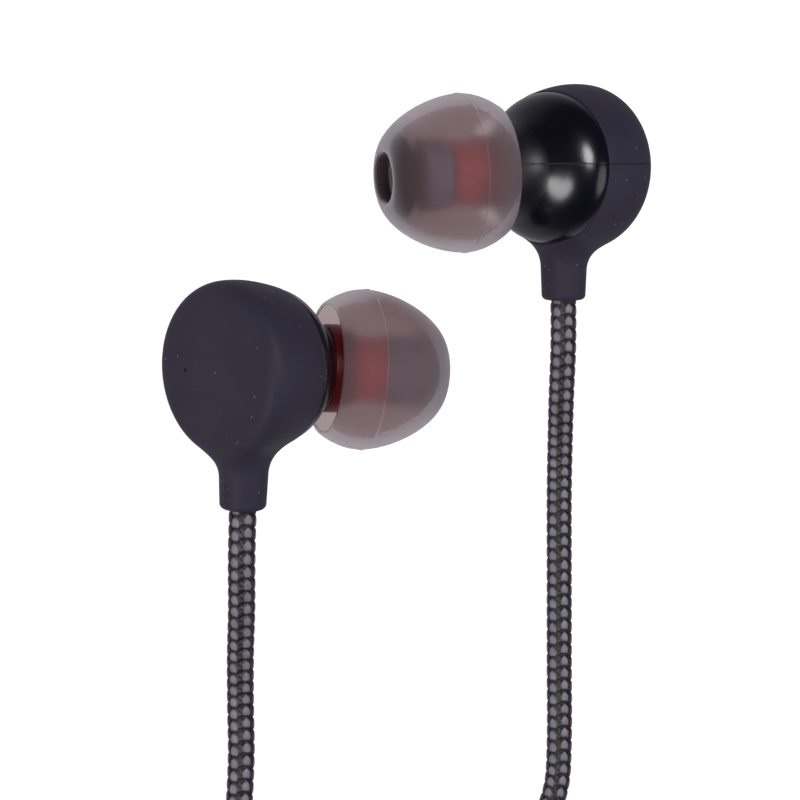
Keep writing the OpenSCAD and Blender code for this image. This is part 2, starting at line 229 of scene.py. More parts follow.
def mat_soft_touch():
    m, nt, bs = new_mat("soft_touch_black")
    n = noise(nt, 260.0, 4.0)
    r = ramp(nt, n.outputs["Fac"], [(0.25, (0.0225, 0.0192, 0.0340)), (0.75, (0.0280, 0.0240, 0.0410))])
    # fine pale dust specks, as on any soft-touch coating
    tc = nt.nodes.new("ShaderNodeTexCoord")
    vo = nt.nodes.new("ShaderNodeTexVoronoi")
    vo.inputs["Scale"].default_value = 1100.0
    nt.links.new(tc.outputs["Object"], vo.inputs["Vector"])
    sp = ramp(nt, vo.outputs["Distance"], [(0.0, g(1.0)), (0.11, g(0.0))])
    pick = nt.nodes.new("ShaderNodeSeparateColor")
    nt.links.new(vo.outputs["Color"], pick.inputs[0])
    gate = ramp(nt, pick.outputs[0], [(0.30, g(0.0)), (0.60, g(0.55))])
    mul = node(nt, "ShaderNodeMath", operation="MULTIPLY")
    nt.links.new(sp.outputs[0], mul.inputs[0])
    nt.links.new(gate.outputs[0], mul.inputs[1])
    mix = node(nt, "ShaderNodeMix", data_type="RGBA")
    nt.links.new(mul.outputs[0], mix.inputs["Factor"])
    nt.links.new(r.outputs[0], mix.inputs["A"])
    mix.inputs["B"].default_value = (0.32, 0.30, 0.33, 1)
    line = parting_line(nt, bs, mix.outputs["Result"])
    rr = ramp(nt, n.outputs["Fac"], [(0.3, g(0.52)), (0.7, g(0.62))])
    nt.links.new(rr.outputs[0], bs.inputs["Roughness"])
    bs.inputs["Specular IOR Level"].default_value = 0.16
    n2 = noise(nt, 5200.0, 2.0)
    b1 = bump(nt, bs, n2.outputs["Fac"], 0.18, 1.2e-5)
    bump(nt, bs, line, 0.5, 3.0e-5, normal=b1.outputs[0])
    return m


def mat_piano():
    m, nt, bs = new_mat("polished_black")
    n = noise(nt, 420.0, 3.0)
    r = ramp(nt, n.outputs["Fac"], [(0.3, (0.0012, 0.0010, 0.0042)), (0.7, (0.0018, 0.0015, 0.0055))])
    line = parting_line(nt, bs, r.outputs[0])
    rr = ramp(nt, n.outputs["Fac"], [(0.3, g(0.20)), (0.7, g(0.24))])
    # satin where the shell flares out to the nozzle
    at = nt.nodes.new("ShaderNodeAttribute")
    at.attribute_name = "from_nozzle"
    near = ramp(nt, at.outputs["Fac"], [(0.33, g(0.52)), (0.38, g(0.30)), (0.42, g(0.0))])
    top = node(nt, "ShaderNodeMath", operation="MAXIMUM")
    nt.links.new(rr.outputs[0], top.inputs[0])
    nt.links.new(near.outputs[0], top.inputs[1])
    nt.links.new(top.outputs[0], bs.inputs["Roughness"])
    bs.inputs["Specular IOR Level"].default_value = 0.5
    n2 = noise(nt, 900.0, 2.0)
    b1 = bump(nt, bs, n2.outputs["Fac"], 0.05, 1.5e-5)
    bump(nt, bs, line, 0.6, 4.0e-5, normal=b1.outputs[0])
    return m


def station(nt, stops, lo=4.0, hi=14.0):
    """A ramp over the distance along the nozzle, in mm."""
    at = nt.nodes.new("ShaderNodeAttribute")
    at.attribute_name = "station"
    mr = nt.nodes.new("ShaderNodeMapRange")
    mr.inputs["From Min"].default_value = lo
    mr.inputs["From Max"].default_value = hi
    nt.links.new(at.outputs["Fac"], mr.inputs["Value"])
    return ramp(nt, mr.outputs["Result"], [((p - lo) / (hi - lo), c) for p, c in stops])


def mat_silicone(name, color, trans, rough, ior, ridge_highlight_front_shade=False, alpha=1.0):
    """Frosted translucent silicone, seen through to the red barrel."""
    m, nt, bs = new_mat(name)
    n = noise(nt, 330.0, 3.0)
    lo = tuple(c * 0.95 for c in color)
    hi = tuple(min(1, c * 1.04) for c in color)
    r = ramp(nt, n.outputs["Fac"], [(0.3, lo), (0.7, hi)])
    colour = r.outputs[0]
    if ridge_highlight_front_shade:
        # painted highlight: a pale band on the mould ridge at the widest ring; painted shade: the skirt's colour
        # darkens towards the front
        st = station(nt, [(4.0, g(0.95)), (7.61, g(0.95)), (7.635, g(1.35)), (7.69, g(1.35)), (7.72, g(0.95)), (12.0, g(0.95)), (13.0, g(0.66)), (14.0, g(0.50))])
        mx = node(nt, "ShaderNodeMix", data_type="RGBA", blend_type="MULTIPLY")
        mx.inputs["Factor"].default_value = 1.0
        nt.links.new(colour, mx.inputs["A"])
        nt.links.new(st.outputs[0], mx.inputs["B"])
        colour = mx.outputs["Result"]
    # stray dust that silicone always holds
    tc = nt.nodes.new("ShaderNodeTexCoord")
    vo = nt.nodes.new("ShaderNodeTexVoronoi")
    vo.inputs["Scale"].default_value = 900.0
    nt.links.new(tc.outputs["Object"], vo.inputs["Vector"])
    sp = ramp(nt, vo.outputs["Distance"], [(0.0, g(1.0)), (0.07, g(0.0))])
    pick = nt.nodes.new("ShaderNodeSeparateColor")
    nt.links.new(vo.outputs["Color"], pick.inputs[0])
    gate = ramp(nt, pick.outputs[0], [(0.82, g(0.0)), (0.90, g(0.5))])
    mul = node(nt, "ShaderNodeMath", operation="MULTIPLY")
    nt.links.new(sp.outputs[0], mul.inputs[0])
    nt.links.new(gate.outputs[0], mul.inputs[1])
    mix = node(nt, "ShaderNodeMix", data_type="RGBA")
    nt.links.new(mul.outputs[0], mix.inputs["Factor"])
    nt.links.new(colour, mix.inputs["A"])
    mix.inputs["B"].default_value = (0.9, 0.88, 0.88, 1)
    nt.links.new(mix.outputs["Result"], bs.inputs["Base Color"])
    rr = ramp(nt, n.outputs["Fac"], [(0.3, g(rough - 0.03)), (0.7, g(rough + 0.03))])
    nt.links.new(rr.outputs[0], bs.inputs["Roughness"])
    bs.inputs["IOR"].default_value = ior
    bs.inputs["Transmission Weight"].default_value = trans
    bs.inputs["Specular IOR Level"].default_value = 0.4
    bs.inputs["Specular Tint"].default_value = (0.10, 0.08, 0.09, 1.0)
    bs.inputs["Alpha"].default_value = alpha
    n2 = noise(nt, 2600.0, 2.0)
    bump(nt, bs, n2.outputs["Fac"], 0.12, 1.2e-5)
    return m


def mat_anodised():
    m, nt, bs = new_mat("red_anodised")
    tc = nt.nodes.new("ShaderNodeTexCoord")
    n = noise(nt, 1500.0, 3.0)
    r = ramp(nt, n.outputs["Fac"], [(0.3, (0.84, 0.045, 0.060)), (0.7, (0.92, 0.055, 0.075))])
    # painted shade: the collar and the tube are painted much darker than the barrel, for the shade between bud and tip
    # and inside the bore
    sh = station(nt, [(2.0, g(0.05)), (4.3, g(0.08)), (5.9, g(0.22)), (6.7, g(1.0)), (8.7, g(1.0)), (9.1, g(0.45)), (9.5, g(0.20)), (13.0, g(0.12))], 2.0, 13.0)
    mx = node(nt, "ShaderNodeMix", data_type="RGBA", blend_type="MULTIPLY")
    mx.inputs["Factor"].default_value = 1.0
    nt.links.new(r.outputs[0], mx.inputs["A"])
    nt.links.new(sh.outputs[0], mx.inputs["B"])
    nt.links.new(mx.outputs["Result"], bs.inputs["Base Color"])
    bs.inputs["Metallic"].default_value = 0.1
    bs.inputs["Specular IOR Level"].default_value = 0.2
    rr = ramp(nt, n.outputs["Fac"], [(0.3, g(0.30)), (0.7, g(0.40))])
    nt.links.new(rr.outputs[0], bs.inputs["Roughness"])
    n2 = noise(nt, 4000.0, 2.0)
    bump(nt, bs, n2.outputs["Fac"], 0.15, 1.0e-5)
    return m


def mat_braid():
    m, nt, bs = new_mat("braided_sleeve")
    # fine threads along the strands, from the tube's own coordinates
    uvn = nt.nodes.new("ShaderNodeUVMap")
    sep = nt.nodes.new("ShaderNodeSeparateXYZ")
    nt.links.new(uvn.outputs[0], sep.inputs[0])
    w = nt.nodes.new("ShaderNodeTexWave")
    w.wave_type = "BANDS"
    w.bands_direction = "X"
    w.inputs["Scale"].default_value = 9.0
    w.inputs["Distortion"].default_value = 1.2
    w.inputs["Detail"].default_value = 2.0
    nt.links.new(uvn.outputs[0], w.inputs["Vector"])
    n = noise(nt, 1400.0, 3.0)
    r = ramp(nt, n.outputs["Fac"], [(0.3, (0.135, 0.120, 0.145)), (0.7, (0.20, 0.18, 0.21))])
    # painted highlight and painted shade: the stitch crowns are painted pale and the valleys between stitches nearly
    # black, by the stitch height
    at = nt.nodes.new("ShaderNodeAttribute")
    at.attribute_name = "lobe"
    sh = ramp(nt, at.outputs["Fac"], [(0.0, (0.010, 0.006, 0.012)), (0.45, (0.045, 0.028, 0.05)), (0.68, (0.23, 0.18, 0.24)), (0.80, g(0.75)), (0.95, g(1.0))])
    mx = node(nt, "ShaderNodeMix", data_type="RGBA", blend_type="MULTIPLY")
    mx.inputs["Factor"].default_value = 1.0
    nt.links.new(r.outputs[0], mx.inputs["A"])
    nt.links.new(sh.outputs[0], mx.inputs["B"])
    nt.links.new(mx.outputs["Result"], bs.inputs["Base Color"])
    rr = ramp(nt, w.outputs["Fac"], [(0.2, g(0.36)), (0.8, g(0.48))])
    nt.links.new(rr.outputs[0], bs.inputs["Roughness"])
    bs.inputs["Specular IOR Level"].default_value = 0.5
    bs.inputs["Sheen Weight"].default_value = 0.10
    bs.inputs["Sheen Tint"].default_value = (0.62, 0.45, 0.72, 1.0)
    bs.inputs["Sheen Roughness"].default_value = 0.4
    bump(nt, bs, w.outputs["Fac"], 0.25, 1.5e-5)
    return m


M_SOFT = mat_soft_touch()
M_PIANO = mat_piano()
M_RED = mat_anodised()
M_BRAID = mat_braid()
M_SKIRT = mat_silicone("smoke_silicone", (0.255, 0.176, 0.190), 0.68, 0.56, 1.18, ridge_highlight_front_shade=True)
# the skirt's inner wall is a pale, nearly clear copy of the silicone: painted light glowing through the skirt
M_FILM_IN = mat_silicone("smoke_silicone_inside", (0.80, 0.70, 0.72), 0.0, 0.5, 1.3, alpha=0.035)
M_CORE = mat_silicone("smoke_silicone_core", (0.25, 0.29, 0.42), 0.0, 0.5, 1.36)
M_FRONT = mat_silicone("smoke_silicone_front", (0.060, 0.078, 0.13), 0.0, 0.5, 1.36)
M_STEEL = plain("plated_steel", (0.60, 0.60, 0.62), 1.0, 0.28)
M_MESH = plain("woven_wire", (0.30, 0.29, 0.30), 1.0, 0.38, scale=3000, bump_k=0.6, dist=5e-5)
M_MAGNET = plain("nickel_magnet", (0.58, 0.58, 0.60), 1.0, 0.18)
M_COPPER = plain("enamelled_copper", (0.72, 0.32, 0.14), 0.9, 0.3)
M_FILM = plain("driver_film", (0.70, 0.64, 0.48), 0.0, 0.22, coat=0.5)
M_BOARD = plain("solder_mask", (0.02, 0.16, 0.07), 0.0, 0.35, coat=0.4)
M_CLOTH = plain("acoustic_cloth", (0.02, 0.02, 0.02), 0.0, 0.85, scale=4000, bump_k=0.6, dist=4e-5)
M_RUBBER = plain("black_rubber", (0.022, 0.021, 0.025), 0.0, 0.6, scale=700)
M_STRAP = plain("strap_weave", (0.025, 0.025, 0.028), 0.0, 0.8, scale=2200, bump_k=0.8, dist=8e-5, sheen=0.3)
M_GOLD = plain("gold_plate", (0.86, 0.58, 0.22), 1.0, 0.2)
M_INS = plain("contact_insulator", (0.02, 0.02, 0.02), 0.0, 0.3)
M_WHITE = plain("insulating_rod", (0.78, 0.77, 0.72), 0.0, 0.4)


# ---------------------------------------------------------------- cords
CORD_D = 2.1
Z_LOW = 1.07
Z1, Z2 = 1.49, 3.75
A_AT, B_AT = (1.0, -64.5), (2.9, -108.5)

RIGHT_ROUTE = [(-13.82, -13.64, 6.44), (-13.73, -17.1, 5.92), (-13.63, -21.06, 5.32), (-13.2, -25, 4.0),
               (-12.75, -29, 2.3), (-12.4, -33, 1.25), (-12.3, -38, Z_LOW), (-12.8, -44, Z_LOW),
               (-14.4, -50, Z_LOW), (-14.8, -56, 1.3)]
LEFT_ROUTE = [(14.29, 3.14, 5.7), (14.46, -0.33, 5.31), (14.67, -4.3, 4.88), (15.15, -8.3, 3.6),
              (15.9, -12.5, 1.9), (16.25, -17, Z_LOW), (16.25, -24, Z_LOW), (16.25, -31, Z_LOW),
              (16.25, -38, Z_LOW), (15.9, -42, Z_LOW), (14.3, -45, Z_LOW), (11, -46.2, Z_LOW),
              (4, -46.2, Z_LOW), (-3, -46.2, Z_LOW), (-7.5, -46.4, Z_LOW), (-10.6, -48.4, Z_LOW),
              (-12.1, -52, Z_LOW), (-12.5, -57, 1.3)]


def spline(p, step=0.25):
    p = [np.array(q, float) for q in p]
    out = []
    for i in range(len(p) - 1):
        a, b = p[max(i - 1, 0)], p[i]
        c, d = p[i + 1], p[min(i + 2, len(p) - 1)]
        n = max(2, int(np.linalg.norm(c - b) / step))
        for j in range(n):
            t = j / n
            out.append(0.5 * (2 * b + (c - a) * t + (2 * a - 5 * b + 4 * c - d) * t * t + (3 * b - a - 3 * c + d) * t ** 3))
    out.append(p[-1])
    return np.array(out)


def lerp(a, b, t):
    return a + (b - a) * smoothstep(t)


def coil_pair(outer, inner):
    """Two layers, entered and left at the west side, heading -Y."""
    u = np.arange(0, 1080.01, 1.0)
    r = np.select([u < 270, u < 360, u < 810, u < 900],
                  [outer, lerp(outer, inner, (u - 270) / 90), inner, lerp(inner, outer, (u - 810) / 90)], outer)
    z = lerp(Z1, Z2, (u - 540) / 120)
    a = np.radians(180 + u)
    return np.stack([A_AT[0] + r * np.cos(a), A_AT[1] + r * np.sin(a), z], 1)


def coil_main():
    lanes = [16.6, 14.3, 12.0, 9.7, 7.4, 5.1]
    u = np.arange(0, 3960.01, 1.5)
    r = np.zeros_like(u)
    for i, v in enumerate(u):
        if v < 2100:
            k = min(int(v // 360), 5)
            t = (v - 360 * k - 270) / 90
            r[i] = lanes[k] if k == 5 else lerp(lanes[k], lanes[k + 1], t)
        else:
            j = (v - 2160 - 150) / 360
            k = int(math.floor(j)) if j > 0 else -1
            if k < 0:
                r[i] = lanes[5]
            elif k > 4:
                r[i] = lanes[0]
            else:
                r[i] = lerp(lanes[5 - k], lanes[4 - k], (j - k) * 360 / 90)
    z = lerp(Z1, Z2, (u - 1980) / 120)
    a = np.radians(180 + u)
    return np.stack([B_AT[0] + r * np.cos(a), B_AT[1] + r * np.sin(a), z], 1)


def join(*parts):
    out = [parts[0]]
    for q in parts[1:]:
        if np.linalg.norm(out[-1][-1] - q[0]) < 0.2:
            q = q[1:]
        out.append(q)
    return np.concatenate(out)


def resample(p, step):
    seg = np.linalg.norm(np.diff(p, axis=0), axis=1)
    s = np.concatenate([[0], np.cumsum(seg)])
    n = max(2, int(round(s[-1] / step)))
    t = np.linspace(0, s[-1], n + 1)
    return np.stack([np.interp(t, s, p[:, k]) for k in range(3)], 1), t


def relax(p, n=6):
    p = p.copy()
    for _ in range(n):
        p[1:-1] = 0.25 * p[:-2] + 0.5 * p[1:-1] + 0.25 * p[2:]
    return p


def tail(x):
    return spline([(x, -64.5, Z2), (x, -71, 3.6), (x, -76, 2.6), (x, -79.2, 2.12), (x, -84, 2.12)])


PATH = {
    "right_cord": join(spline(RIGHT_ROUTE + [(-14.8, -64.5, Z1)]), coil_pair(15.8, 11.2), tail(-14.8)),
    "left_cord": join(spline(LEFT_ROUTE + [(-12.5, -64.5, Z1)]), coil_pair(13.5, 8.9), tail(-12.5)),
    "main_cord": join(spline([(-13.65, -90, 2.12), (-13.65, -97.5, 2.12), (-13.65, -102, 1.6), (-13.7, -108.5, Z1)]),
                      coil_main(),
                      spline([(-13.7, -108.5, Z2), (-13.7, -116, 3.5), (-13.7, -121.5, 3.3), (-13.7, -127, 3.3)])),
}

# The sleeve's braid: six columns of overlapping lens-shaped stitches
PITCH = 1.02
COLS = 6


def braid_radius(theta, s, turn=0.0):
    """Radius and stitch height at angle theta (radians) and distance s (mm)."""
    R0 = CORD_D / 2 + 0.04
    x = (theta + turn) / (2 * np.pi) * COLS
    best = np.zeros_like(x)
    # columns of long pointed stitches that sit in each other like a plait
    for k in (-1, 0, 1):
        col = np.floor(x) + k
        u = x - col - 0.5                              # 0 in the middle of a column
        v = s / PITCH + 0.42 - 0.26 * np.mod(col, 2) - 0.55 * np.abs(u) + 0.10 * u
        vv = (v - np.floor(v) - 0.5) * 2.0
        e = (np.abs(u) / (0.44 - 0.07 * vv)) ** 2.0 + np.abs(vv) ** 2.6
        h = np.sqrt(np.clip(1 - e, 0, 1))
        best = np.maximum(best, h)
    # small crossing strands in the valleys between the columns
    for k in (0, 1):
        col = np.floor(x) + k
        u = x - col
        v = 2.0 * s / PITCH + 0.5 + 2.2 * u
        vv = (v - np.floor(v) - 0.5) * 2.0
        e = (np.abs(u) / 0.16) ** 2.0 + np.abs(vv / 0.8) ** 2.0
        best = np.maximum(best, 0.62 * np.sqrt(np.clip(1 - e, 0, 1)))
    return R0 - 0.20 * (1 - best ** 0.8), best


def tube(name, path, body="earphones", fine=62.0, turn=5.0):
    p, _ = resample(relax(resample(path, 0.25)[0], 8), 0.25)
    total = np.linalg.norm(np.diff(p, axis=0), axis=1).sum()
    seg = np.linalg.norm(np.diff(p, axis=0), axis=1)
    sl = np.concatenate([[0], np.cumsum(seg)])
    st = []
    pos = 0.0
    while pos < total:
        st.append(pos)
        pos += (0.08) if pos < fine else (0.2)
    st.append(total)
    st = np.array(st)
    c = np.stack([np.interp(st, sl, p[:, k]) for k in range(3)], 1)
    t = np.gradient(c, st, axis=0)
    t /= np.linalg.norm(t, axis=1)[:, None]
    # parallel transport
    u = np.zeros_like(c)
    a = np.cross(t[0], [0, 0, 1.0])
    u[0] = a / np.linalg.norm(a)
    for i in range(1, len(c)):
        w = u[i - 1] - t[i] * (u[i - 1] @ t[i])
        u[i] = w / np.linalg.norm(w)
    v = np.cross(t, u)
    groups = []
    n_side = 60
    th = np.arange(n_side) / n_side * 2 * np.pi
    R, L = braid_radius(th[None, :] + 0 * st[:, None], st[:, None] + 0 * th[None, :], turn=np.radians(turn))
    ring = c[:, None, :] + R[:, :, None] * (np.cos(th)[None, :, None] * u[:, None, :] + np.sin(th)[None, :, None] * v[:, None, :])
    verts = ring.reshape(-1, 3)
    m = len(st)
    i = np.arange(m - 1)[:, None] * n_side
    k = np.arange(n_side)[None, :]
    k2 = (k + 1) % n_side
    q = np.stack([i + k, i + k2, i + n_side + k2, i + n_side + k], -1).reshape(-1, 4)
    faces = q.tolist()
    verts = np.concatenate([verts, c[:1], c[-1:]])
    a0, a1 = len(verts) - 2, len(verts) - 1
    faces += [[a0, (j + 1) % n_side, j] for j in range(n_side)]
    b0 = (m - 1) * n_side
    faces += [[a1, b0 + j, b0 + (j + 1) % n_side] for j in range(n_side)]
    uv = np.stack([np.tile(th / (2 * np.pi) * 6.6, m), np.repeat(st, n_side)], 1)
    uv = np.concatenate([uv, uv[:2]])
    ob = mesh_object(name, verts, faces, M_BRAID, uv=uv)
    at = ob.data.attributes.new("lobe", "FLOAT", "POINT")
    at.data.foreach_set("value", np.concatenate([L.ravel(), [0.2, 0.2]]).astype(np.float32))
    pts = [tuple(x * MM) for x in resample(c, 0.8)[0]]
    return ob, total, pts


CORDS = {}
for nm in ("right_cord", "left_cord", "main_cord"):
    ob, total, pts = tube(nm + "_braided", PATH[nm], fine=62.0 if nm != "main_cord" else 0.0,
                          turn={"right_cord": 9.3, "left_cord": 0.0, "main_cord": 5.0}[nm])
    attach(ob, "earphones")
    CORDS[nm] = (ob, total, pts)
    print("cord", nm, "length mm", round(total, 1))
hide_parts("right_cord", "right_cord_tail", "branch_coil")
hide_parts("left_cord", "left_cord_tail")
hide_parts("main_cord", "main_coil", "main_cord_tail")
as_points(CORDS["right_cord"][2])
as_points(CORDS["left_cord"][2])
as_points(CORDS["main_cord"][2])


# ---------------------------------------------------------------- shells from distance fields
def poly_sdf(px, py, poly):
    """Signed distance to a closed polygon, negative inside."""
    poly = np.asarray(poly, float)
    d = np.full(px.shape, 1e9)
    inside = np.zeros(px.shape, bool)
    n = len(poly)
    for i in range(n):
        a, b = poly[i], poly[(i + 1) % n]
        e = b - a
        if e @ e < 1e-12:
            continue
        wx, wy = px - a[0], py - a[1]
        t = np.clip((wx * e[0] + wy * e[1]) / (e @ e), 0, 1)
        d = np.minimum(d, (wx - t * e[0]) ** 2 + (wy - t * e[1]) ** 2)
        c = (a[1] > py) != (b[1] > py)
        if e[1] != 0:
            xi = a[0] + (py - a[1]) / e[1] * e[0]
            inside ^= c & (px < xi)
    d = np.sqrt(d)
    return np.where(inside, -d, d)


class Revolve:
    """Distance to a revolved outline, read from a fine table."""

    def __init__(self, outline, r_max, lo, hi, h=0.05, round_r=0.0):
        poly = [(r, x) for r, x in outline]
        full = poly + [(-r, x) for r, x in reversed(poly)]
        self.h, self.lo, self.rr = h, lo, round_r
        self.nr, self.nx = int(r_max / h) + 2, int((hi - lo) / h) + 2
        rg, xg = np.meshgrid(np.arange(self.nr) * h, lo + np.arange(self.nx) * h, indexing="ij")
        self.t = poly_sdf(rg, xg, full)

    def __call__(self, r, x):
        i = np.clip(r / self.h, 0, self.nr - 1.001)
        j = np.clip((x - self.lo) / self.h, 0, self.nx - 1.001)
        i0, j0 = i.astype(int), j.astype(int)
        fi, fj = i - i0, j - j0
        t = self.t
        v = (t[i0, j0] * (1 - fi) * (1 - fj) + t[i0 + 1, j0] * fi * (1 - fj)
             + t[i0, j0 + 1] * (1 - fi) * fj + t[i0 + 1, j0 + 1] * fi * fj)
        return v - self.rr


def smin(a, b, k):
    h = np.clip(0.5 + 0.5 * (b - a) / k, 0, 1)
    return b + (a - b) * h - k * h * (1 - h)


def smax(a, b, k):
    return -smin(-a, -b, k)


def surface_nets(f, lo, hi, h):
    n = [int(math.ceil((b - a) / h)) + 1 for a, b in zip(lo, hi)]
    ax = [lo[k] + np.arange(n[k]) * h for k in range(3)]
    X, Y, Z = np.meshgrid(*ax, indexing="ij")
    P = np.stack([X.ravel(), Y.ravel(), Z.ravel()], 1)
    F = np.empty(len(P), np.float32)
    for i in range(0, len(P), 400000):
        F[i:i + 400000] = f(P[i:i + 400000])
    F = F.reshape(n)
    S = F < 0
    cn = [k - 1 for k in n]
    cnt = np.zeros(cn, np.int32)
    acc = np.zeros(cn + [3])
    offs = [(0, 0), (1, 0), (0, 1), (1, 1)]
    for axis in range(3):
        o1, o2 = [k for k in range(3) if k != axis]
        for a, b in offs:
            sl0, sl1 = [None] * 3, [None] * 3
            sl0[axis] = slice(0, cn[axis]); sl1[axis] = slice(1, cn[axis] + 1)
            for o, v in ((o1, a), (o2, b)):
                sl0[o] = slice(v, v + cn[o]); sl1[o] = slice(v, v + cn[o])
            f0, f1 = F[tuple(sl0)], F[tuple(sl1)]
            cross = (f0 < 0) != (f1 < 0)
            t = np.where(cross, f0 / np.where(cross, f0 - f1, 1), 0)
            cnt += cross
            acc[..., axis] += np.where(cross, t, 0)
            acc[..., o1] += np.where(cross, a, 0)
            acc[..., o2] += np.where(cross, b, 0)
    act = cnt > 0
    idx = -np.ones(cn, np.int64)
    idx[act] = np.arange(act.sum())
    ijk = np.argwhere(act)
    v = np.array(lo) + (ijk + acc[act] / cnt[act][:, None]) * h
    quads = []
    for axis in range(3):
        o1, o2 = [(1, 2), (2, 0), (0, 1)][axis]
        sl0 = [slice(0, n[k]) for k in range(3)]
        sl1 = list(sl0)
        sl0[axis] = slice(0, n[axis] - 1); sl1[axis] = slice(1, n[axis])
        a, b = S[tuple(sl0)], S[tuple(sl1)]
        e = np.argwhere(a != b)
        ok = (e[:, o1] > 0) & (e[:, o2] > 0) & (e[:, o1] < cn[o1]) & (e[:, o2] < cn[o2])
        e = e[ok]
        ins = a[tuple(e.T)]

        def cell(d1, d2):
            q = e.copy()
            q[:, o1] -= d1
            q[:, o2] -= d2
            return idx[tuple(q.T)]
        q = np.stack([cell(1, 1), cell(0, 1), cell(0, 0), cell(1, 0)], 1)
        q[~ins] = q[~ins][:, ::-1]
        quads.append(q)
    q = np.concatenate(quads)

    def grad(v, e=0.02):
        gr = np.stack([(f(v + d) - f(v - d)) / (2 * e) for d in (np.eye(3) * e)], 1)
        return gr
    for _ in range(3):
        gr = grad(v)
        l2 = np.maximum((gr ** 2).sum(1), 0.2)
        stp = (f(v) / l2)[:, None] * gr
        ln = np.linalg.norm(stp, axis=1)[:, None]
        v = v - stp * np.minimum(1, 0.7 * h / np.maximum(ln, 1e-9))
    gr = grad(v, 0.012)
    nrm = gr / np.maximum(np.linalg.norm(gr, axis=1)[:, None], 1e-9)
    return v, q, nrm


VOX = 0.12
BACK_R, JOINT_R, FACET_R, BACK_X, BACK_D = 6.86, 6.24, 5.24, 3.76, 5.79
STEM_X, STEM_Y, STEM_L = 2.9, -0.45, 10.9


def back_outline(inset):
    """Outline (radius, x) of the matte back, from the flat face to the joint."""
    pts = [(0, -(BACK_D - inset))]
    for i in range(25):
        a = np.radians(90 * i / 24)
        c, s = np.cos(a) ** (2 / 2.73), np.sin(a) ** (2 / 2.73)
        pts.append((FACET_R + (BACK_R - FACET_R) * s - inset * s, -(BACK_X + (BACK_D - BACK_X) * c) + inset * c))
    for i in range(1, 13):
        t = i / 12
        pts.append((JOINT_R + (BACK_R - JOINT_R) * np.sin((1 - t) * np.pi / 2) - inset, -BACK_X * (1 - t) - (inset if i == 12 else 0)))
    pts.append((0, -inset))
    return pts


_back = Revolve(back_outline(0.10), 14, -14, 6, 0.05, 0.10)


def stem_sdf(P):
    x, y, z = P[:, 0] + STEM_X, P[:, 1] - STEM_Y, P[:, 2]
    rho = np.sqrt(x * x + y * y)
    t = (z + STEM_L) / 6.0
    r = 1.81 + 0.24 * np.clip(t, 0, 1.5)
    rd = 0.42
    dx = rho - (r - rd)
    dz = np.maximum(-(z + STEM_L - rd), z + 3.0)
    return np.minimum(np.maximum(dx, dz), 0) + np.sqrt(np.maximum(dx, 0) ** 2 + np.maximum(dz, 0) ** 2) - rd


def back_field(dots):
    def f(P):
        r = np.sqrt(P[:, 1] ** 2 + P[:, 2] ** 2)
        d = smin(_back(r, P[:, 0]), stem_sdf(P), 1.7)
        d = smax(d, P[:, 0] + 0.0, 0.08)
        # the cord's hole
        rho = np.sqrt((P[:, 0] + STEM_X) ** 2 + (P[:, 1] - STEM_Y) ** 2)
        d = smax(d, -np.maximum(rho - 1.13, P[:, 2] + STEM_L - 1.4), 0.12)
        # the air vent
        rv = np.sqrt((P[:, 1] - 3.35) ** 2 + (P[:, 2] + 0.3) ** 2)
        d = smax(d, -np.maximum(rv - 0.13, P[:, 0] + BACK_D - 0.9), 0.05)
        # dots to feel on the back of the stem
        for i in range(dots):
            q = np.sqrt((P[:, 0] + STEM_X + 1.80) ** 2 + (P[:, 1] - STEM_Y) ** 2 + (P[:, 2] + 9.9 - 0.75 * i) ** 2) - 0.24
            d = smin(d, q, 0.12)
        return d
    return f


DOME_R, DOME_D = 6.12, 3.42


def dome_outline(inset):
    pts = [(0, 0.0 + inset)]
    pts.append((DOME_R - inset, inset))
    for i in range(1, 61):
        a = np.radians(90 * i / 60)
        pts.append(((DOME_R - inset) * np.cos(a), inset * 0 + max((DOME_D - inset) * np.sin(a), inset)))
    return pts


_dome = Revolve(dome_outline(0.08), 12, -6, 10, 0.04, 0.08)


def front_field(P):
    r = np.sqrt(P[:, 1] ** 2 + P[:, 2] ** 2)
    d = _dome(r, P[:, 0])
    s = P @ NOZ
    rho = np.sqrt(np.maximum((P ** 2).sum(1) - s * s, 0))
    rd = 0.12
    dx = rho - (3.30 - rd)
    ds = np.abs(s - 2.4) - (S_COLLAR - 2.4 - rd)
    boss = np.minimum(np.maximum(dx, ds), 0) + np.sqrt(np.maximum(dx, 0) ** 2 + np.maximum(ds, 0) ** 2) - rd
    d = smin(d, boss, 1.25)
    d = smax(d, -np.maximum(rho - 3.54, S_COLLAR - s), 0.08)
    return smax(d, 0.01 - P[:, 0], 0.06)


def shell(name, field, lo, hi, mat, nodes, side):
    v, q, nrm = surface_nets(field, lo, hi, VOX)
    at, m = BUD[side]
    ob = mesh_object(name, v @ m.T + at, q, mat, normals=nrm @ m.T)
    loc = ob.data.attributes.new("bud_place", "FLOAT_VECTOR", "POINT")
    # the right bud's parting line was polished away
    loc.data.foreach_set("vector", (v + [0, 0, 0 if side == "left" else 50]).astype(np.float32).ravel())
    off = np.sqrt(np.maximum((v ** 2).sum(1) - (v @ NOZ) ** 2, 0)) / 10.0
    fn = ob.data.attributes.new("from_nozzle", "FLOAT", "POINT")
    fn.data.foreach_set("value", off.astype(np.float32))
    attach(ob, "earphones")
    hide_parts(*nodes)
    return ob


for side, dots in (("right", 3), ("left", 1)):
    shell(f"{side}_back_shell_form", back_field(dots), (-6.6, -7.4, -11.6), (0.4, 7.4, 7.4), M_SOFT, [f"{side}_back_shell"], side)
    shell(f"{side}_front_shell_form", front_field, (-0.4, -6.8, -6.8), (6.6, 6.8, 6.8), M_PIANO, [f"{side}_front_shell"], side)


# ---------------------------------------------------------------- turned parts about the nozzle
def perp(n):
    a = np.cross(n, [0, 0, 1.0])
    a /= np.linalg.norm(a)
    return a, np.cross(n, a)


